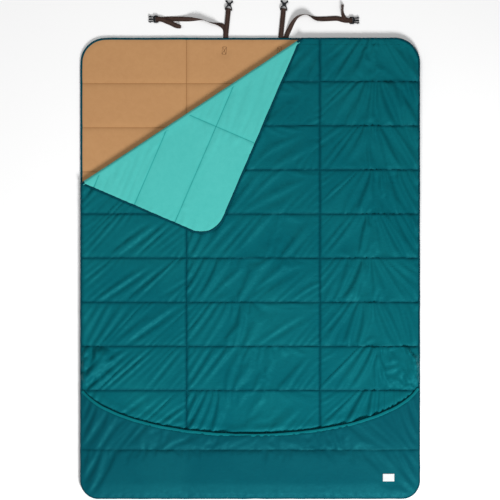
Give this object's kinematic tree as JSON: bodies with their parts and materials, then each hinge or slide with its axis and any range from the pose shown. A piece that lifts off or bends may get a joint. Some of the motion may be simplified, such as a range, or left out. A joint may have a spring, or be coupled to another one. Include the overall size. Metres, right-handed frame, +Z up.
{
  "type": "camp blanket",
  "caption": "Two-layer quilted camp blanket lying flat, cover corner turned back, foot pocket, webbing straps with side-release buckles.",
  "frame": {"origin": "centre of the blanket's underside, where it rests on the ground", "axes": "+X across the blanket to the label's side, +Y along its length to the head edge and its straps, +Z up"},
  "size_m": [1.4, 2.0538, 0.031],
  "materials": {
    "shell_cloth": "dark teal taffeta, slight sheen",
    "lining_cloth": "light aqua cloth, matte",
    "tan_cloth": "tan brushed cloth, matte",
    "binding_tape": "dark teal folded tape",
    "teal_thread": "polyester thread",
    "tan_thread": "polyester thread",
    "batting": "white synthetic fill",
    "webbing": "dark brown flat-woven webbing",
    "buckle_plastic": "black moulded plastic, satin",
    "label_cloth": "white woven label, blank",
    "label_thread": "polyester thread"
  },
  "bodies": {
    "blanket": {"base_underside": "shell_cloth", "base_batting": "batting", "base_inner_cloth": "tan_cloth", "base_binding": "binding_tape", "base_quilting": "tan_thread", "joining_seam": "teal_thread", "cover_lining": "lining_cloth", "cover_batting": "batting", "cover_shell": "shell_cloth", "cover_binding": "binding_tape", "cover_quilting": "teal_thread", "pocket_lining": "shell_cloth", "pocket_batting": "batting", "pocket_shell": "shell_cloth", "pocket_hem": "shell_cloth", "pocket_quilting": "teal_thread", "label": "label_cloth", "label_stitching": "label_thread", "left_strap_anchor": "webbing", "right_strap_anchor": "webbing", "left_box_stitch": "tan_thread", "right_box_stitch": "tan_thread", "left_long_strap": "webbing", "right_long_strap": "webbing", "left_strap_tail": "webbing", "right_strap_tail": "webbing", "left_buckle_loop": "webbing", "right_buckle_loop": "webbing", "left_male_buckle": "buckle_plastic", "right_male_buckle": "buckle_plastic"},
    "turned_corner": {"corner_shell": "shell_cloth", "corner_batting": "batting", "corner_lining": "lining_cloth", "corner_binding": "binding_tape", "corner_quilting": "teal_thread"},
    "left_short_leg": {"left_short_strap": "webbing"},
    "right_short_leg": {"right_short_strap": "webbing"},
    "left_socket": {"left_female_buckle": "buckle_plastic"},
    "right_socket": {"right_female_buckle": "buckle_plastic"},
    "left_far_arm": {"left_far_prong": "buckle_plastic"},
    "left_near_arm": {"left_near_prong": "buckle_plastic"},
    "right_far_arm": {"right_far_prong": "buckle_plastic"},
    "right_near_arm": {"right_near_prong": "buckle_plastic"}
  },
  "joints": [
    {"name": "corner_fold", "type": "hinge", "parent": "blanket", "child": "turned_corner", "pos_m": [-0.242, 0.6485, 0.01945], "axis": [-0.8353, -0.5499, 0], "range_deg": [0, 180]},
    {"name": "left_leg_bend", "type": "hinge", "parent": "blanket", "child": "left_short_leg", "pos_m": [-0.09918, 0.96791, 0.0059], "axis": [0.9949, -0.1011, 0], "range_deg": [0, 130]},
    {"name": "right_leg_bend", "type": "hinge", "parent": "blanket", "child": "right_short_leg", "pos_m": [0.12782, 0.96791, 0.0059], "axis": [0.9949, -0.1011, 0], "range_deg": [0, 130]},
    {"name": "left_socket_turn", "type": "hinge", "parent": "left_short_leg", "child": "left_socket", "pos_m": [-0.08908, 1.0674, 0.0045], "axis": [0.9949, -0.1011, 0], "range_deg": [0, 90]},
    {"name": "right_socket_turn", "type": "hinge", "parent": "right_short_leg", "child": "right_socket", "pos_m": [0.13792, 1.0674, 0.0045], "axis": [0.9949, -0.1011, 0], "range_deg": [0, 90]},
    {"name": "left_far_squeeze", "type": "hinge", "parent": "blanket", "child": "left_far_arm", "pos_m": [-0.4011, 1.036, 0.0035], "axis": [0, 0, 1], "range_deg": [0, 9], "stiffness_Nm_per_rad": 0.02},
    {"name": "left_near_squeeze", "type": "hinge", "parent": "blanket", "child": "left_near_arm", "pos_m": [-0.4011, 1.016, 0.0035], "axis": [0, 0, -1], "range_deg": [0, 9], "stiffness_Nm_per_rad": 0.02},
    {"name": "right_far_squeeze", "type": "hinge", "parent": "blanket", "child": "right_far_arm", "pos_m": [0.4321, 1.031, 0.0035], "axis": [0, 0, -1], "range_deg": [0, 9], "stiffness_Nm_per_rad": 0.02},
    {"name": "right_near_squeeze", "type": "hinge", "parent": "blanket", "child": "right_near_arm", "pos_m": [0.4321, 1.011, 0.0035], "axis": [0, 0, 1], "range_deg": [0, 9], "stiffness_Nm_per_rad": 0.02}
  ]
}
